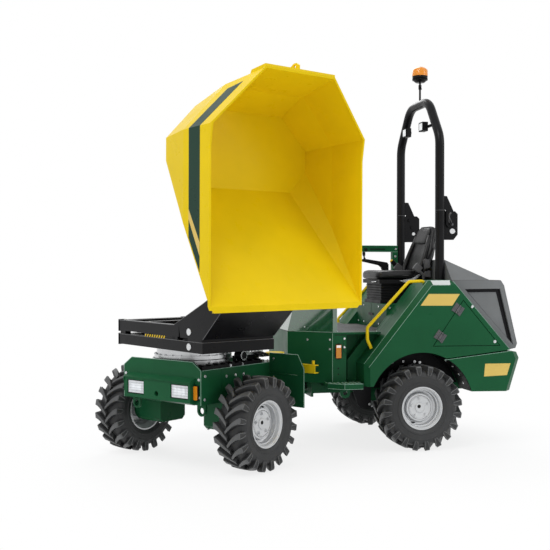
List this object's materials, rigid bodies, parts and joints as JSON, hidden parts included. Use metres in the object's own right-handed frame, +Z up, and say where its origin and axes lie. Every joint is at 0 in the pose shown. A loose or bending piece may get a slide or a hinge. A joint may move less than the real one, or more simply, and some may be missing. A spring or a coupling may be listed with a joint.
{
  "type": "swivel-skip site dumper",
  "caption": "Articulated electric site dumper with a swivelling, high-tipping skip, folding roll-over hoop and lugged tyres, standing with its skip raised.",
  "frame": {"origin": "on the ground under the middle of the whole machine as it stands", "axes": "+X towards the rear chassis's front, +Y towards its left side, +Z up"},
  "size_m": [3.5609, 2.8045, 3.3293],
  "materials": {
    "body_green": "gloss",
    "skip_yellow": "gloss",
    "rail_yellow": "gloss",
    "frame_black": "satin",
    "deck_black": "ribbed",
    "hood_grey": "grained",
    "rim_silver": "satin",
    "tyre_black": "matt",
    "seat_black": "grained",
    "trim_black": "grained",
    "lamp_clear": "clear",
    "amber": "clear",
    "machined_steel": "machined",
    "battery_grey": "moulded"
  },
  "bodies": {
    "rear_chassis": {"rear_frame": "body_green", "flank_left": "body_green", "flank_right": "body_green", "counterweight": "body_green", "battery_block": "battery_grey", "front_box": "body_green", "footplate": "deck_black", "dash_shield": "body_green", "dashboard": "trim_black", "steps": "body_green", "seat_box": "body_green", "seat_base": "trim_black", "seat_cushion": "seat_black", "seat_back": "seat_black", "handrails": "rail_yellow", "guard_bar": "body_green", "control_pod": "trim_black", "hoop_posts": "frame_black", "hinge_ears": "frame_black", "rear_motor_legs": "body_green", "side_markers": "amber"},
    "steering_wheel": {"steering_wheel": "trim_black"},
    "hood": {"hood": "hood_grey"},
    "door_left": {"door_left": "body_green"},
    "door_right": {"door_right": "body_green"},
    "hoop": {"hoop": "frame_black", "beacon_lens": "amber", "work_lights": "trim_black"},
    "knuckle": {"knuckle": "frame_black"},
    "front_chassis": {"front_frame": "body_green", "front_motor_legs": "body_green", "light_box": "body_green", "headlights": "lamp_clear", "front_markers": "amber", "front_mudguards": "body_green", "slew_ring": "machined_steel", "slew_drive": "trim_black", "slew_valve": "machined_steel", "cable_channel": "trim_black", "lock_bar": "rail_yellow"},
    "swivel": {"slew_race": "machined_steel", "swivel_lower_frame": "frame_black", "swivel_upper_frame": "frame_black", "tip_wedge": "frame_black"},
    "skip": {"skip": "skip_yellow", "skip_underframe": "skip_yellow", "lifting_ear": "skip_yellow"},
    "tip_barrel": {"tip_barrel": "frame_black"},
    "tip_rod": {"tip_rod": "machined_steel"},
    "steer_barrel": {"steer_barrel": "frame_black"},
    "steer_rod": {"steer_rod": "machined_steel"},
    "wheel_front_left": {"tyre_front_left": "tyre_black", "rim_front_left": "rim_silver"},
    "wheel_front_right": {"tyre_front_right": "tyre_black", "rim_front_right": "rim_silver"},
    "wheel_rear_left": {"tyre_rear_left": "tyre_black", "rim_rear_left": "rim_silver"},
    "wheel_rear_right": {"tyre_rear_right": "tyre_black", "rim_rear_right": "rim_silver"}
  },
  "joints": [
    {"name": "steer", "type": "hinge", "parent": "rear_chassis", "child": "knuckle", "pos_m": [0.2473, -0.6332, 0.56], "axis": [0, 0, 1], "range_deg": [-78.9, 1.1]},
    {"name": "oscillation", "type": "hinge", "parent": "knuckle", "child": "front_chassis", "pos_m": [0.5586, -0.38201, 0.58], "axis": [0.7782, 0.628, 0], "range_deg": [-10, 10]},
    {"name": "swivel", "type": "hinge", "parent": "front_chassis", "child": "swivel", "pos_m": [1.02554, -0.00524, 0.815], "axis": [0, 0, 1], "range_deg": [-167, 13]},
    {"name": "tip", "type": "hinge", "parent": "swivel", "child": "skip", "pos_m": [0.69794, 0.66943, 1.26], "axis": [-0.8996, -0.4368, 0], "range_deg": [-90.4, 0]},
    {"name": "tip_barrel_swing", "type": "hinge", "parent": "swivel", "child": "tip_barrel", "pos_m": [1.09543, -0.14917, 1.04], "axis": [-0.8996, -0.4368, 0], "range_deg": [-12, 12]},
    {"name": "tip_rod_slide", "type": "slide", "parent": "tip_barrel", "child": "tip_rod", "axis": [-0.4046, 0.8332, 0.3771], "range_m": [-0.278, 0.004]},
    {"name": "steer_barrel_swing", "type": "hinge", "parent": "rear_chassis", "child": "steer_barrel", "pos_m": [-0.2027, -0.4132, 0.512], "axis": [0, 0, 1], "range_deg": [-22, 22]},
    {"name": "steer_rod_slide", "type": "slide", "parent": "steer_barrel", "child": "steer_rod", "axis": [0.9928, -0.1201, 0], "range_m": [-0.012, 0.2088]},
    {"name": "hoop_fold", "type": "hinge", "parent": "rear_chassis", "child": "hoop", "pos_m": [-1.2327, -0.6332, 1.895], "axis": [0, -1, 0], "range_deg": [0, 95]},
    {"name": "hood_open", "type": "hinge", "parent": "rear_chassis", "child": "hood", "pos_m": [-1.7507, -0.6332, 0.818], "axis": [0, 1, 0], "range_deg": [-50, 0]},
    {"name": "door_left_open", "type": "hinge", "parent": "rear_chassis", "child": "door_left", "pos_m": [-1.0937, 0.1208, 1.0545], "axis": [0.5769, 0, -0.8168], "range_deg": [0, 100]},
    {"name": "door_right_open", "type": "hinge", "parent": "rear_chassis", "child": "door_right", "pos_m": [-1.0937, -1.3872, 1.0545], "axis": [-0.5769, 0, 0.8168], "range_deg": [0, 100]},
    {"name": "steering_wheel_turn", "type": "hinge", "parent": "rear_chassis", "child": "steering_wheel", "pos_m": [-0.2077, -0.6332, 1.418], "axis": [-0.6144, 0, 0.789], "continuous": true},
    {"name": "wheel_front_left_roll", "type": "hinge", "parent": "front_chassis", "child": "wheel_front_left", "pos_m": [0.62068, 0.49173, 0.355], "axis": [-0.628, 0.7782, 0], "continuous": true},
    {"name": "wheel_front_right_roll", "type": "hinge", "parent": "front_chassis", "child": "wheel_front_right", "pos_m": [1.42573, -0.50597, 0.355], "axis": [-0.628, 0.7782, 0], "continuous": true},
    {"name": "wheel_rear_left_roll", "type": "hinge", "parent": "rear_chassis", "child": "wheel_rear_left", "pos_m": [-0.8587, 0.0078, 0.355], "axis": [0, 1, 0], "continuous": true},
    {"name": "wheel_rear_right_roll", "type": "hinge", "parent": "rear_chassis", "child": "wheel_rear_right", "pos_m": [-0.8587, -1.2742, 0.355], "axis": [0, 1, 0], "continuous": true}
  ],
  "couplings": [
    {"joint": "tip_barrel_swing", "follows": "tip", "ratio": -0.005389},
    {"joint": "tip_rod_slide", "follows": "tip", "m_per_rad": 0.17364},
    {"joint": "steer_barrel_swing", "follows": "steer", "ratio": 0.1038},
    {"joint": "steer_rod_slide", "follows": "steer", "m_per_rad": -0.14727}
  ]
}
